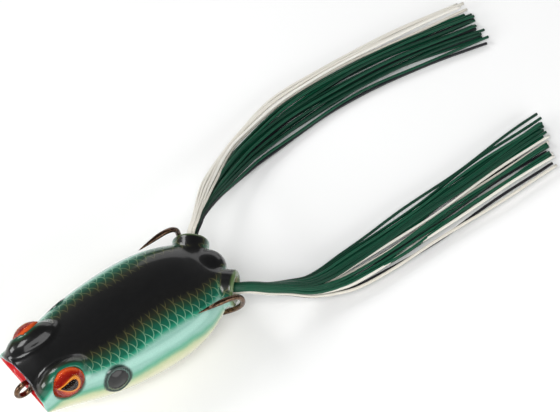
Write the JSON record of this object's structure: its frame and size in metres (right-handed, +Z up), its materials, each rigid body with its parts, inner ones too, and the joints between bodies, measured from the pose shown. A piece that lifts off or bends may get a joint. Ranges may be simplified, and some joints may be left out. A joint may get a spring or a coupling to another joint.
{
  "type": "topwater popper lure",
  "caption": "Hollow soft-bodied frog popper with a cupped mouth, glued eyes, an upturned double hook and two legs of loose strands.",
  "frame": {"origin": "centre of the hole in the line tie at the nose", "axes": "+Z up with the lure lying on its belly, +Y from the nose towards the legs, +X the lure's left and along the line tie's hole"},
  "size_m": [0.0669, 0.1828, 0.0223],
  "materials": {
    "skin": "glossy lacquered soft skin, black back fading through scaled green to a cream belly, red mouth",
    "hook_wire": "dark bronze plated wire, glossy",
    "ballast": "cast, dull",
    "eye_foil": "printed red, orange and gold iris with a black pupil",
    "eye_dome": "clear resin, polished",
    "collar": "matt",
    "strand_green": "satin dark green strand",
    "strand_black": "satin black strand",
    "strand_white": "pearl white strand"
  },
  "bodies": {
    "root": {"body_shell": "skin", "double_hook": "hook_wire", "ballast_weight": "ballast", "left_eye_foil": "eye_foil", "right_eye_foil": "eye_foil", "left_eye_dome": "eye_dome", "right_eye_dome": "eye_dome", "left_leg_collar": "collar", "right_leg_collar": "collar", "left_leg_root": "strand_green", "right_leg_root": "strand_green"},
    "left_leg": {"left_leg_green": "strand_green", "left_leg_black": "strand_black", "left_leg_white": "strand_white"},
    "right_leg": {"right_leg_green": "strand_green", "right_leg_black": "strand_black", "right_leg_white": "strand_white"}
  },
  "joints": [
    {"name": "left_leg_kick", "type": "hinge", "parent": "root", "child": "left_leg", "pos_m": [0.0134, 0.06725, 0.001], "axis": [0, 0, -1], "range_deg": [-6, 30]},
    {"name": "right_leg_kick", "type": "hinge", "parent": "root", "child": "right_leg", "pos_m": [-0.0166, 0.06815, 0.0016], "axis": [0, 0, 1], "range_deg": [-6, 30]}
  ]
}
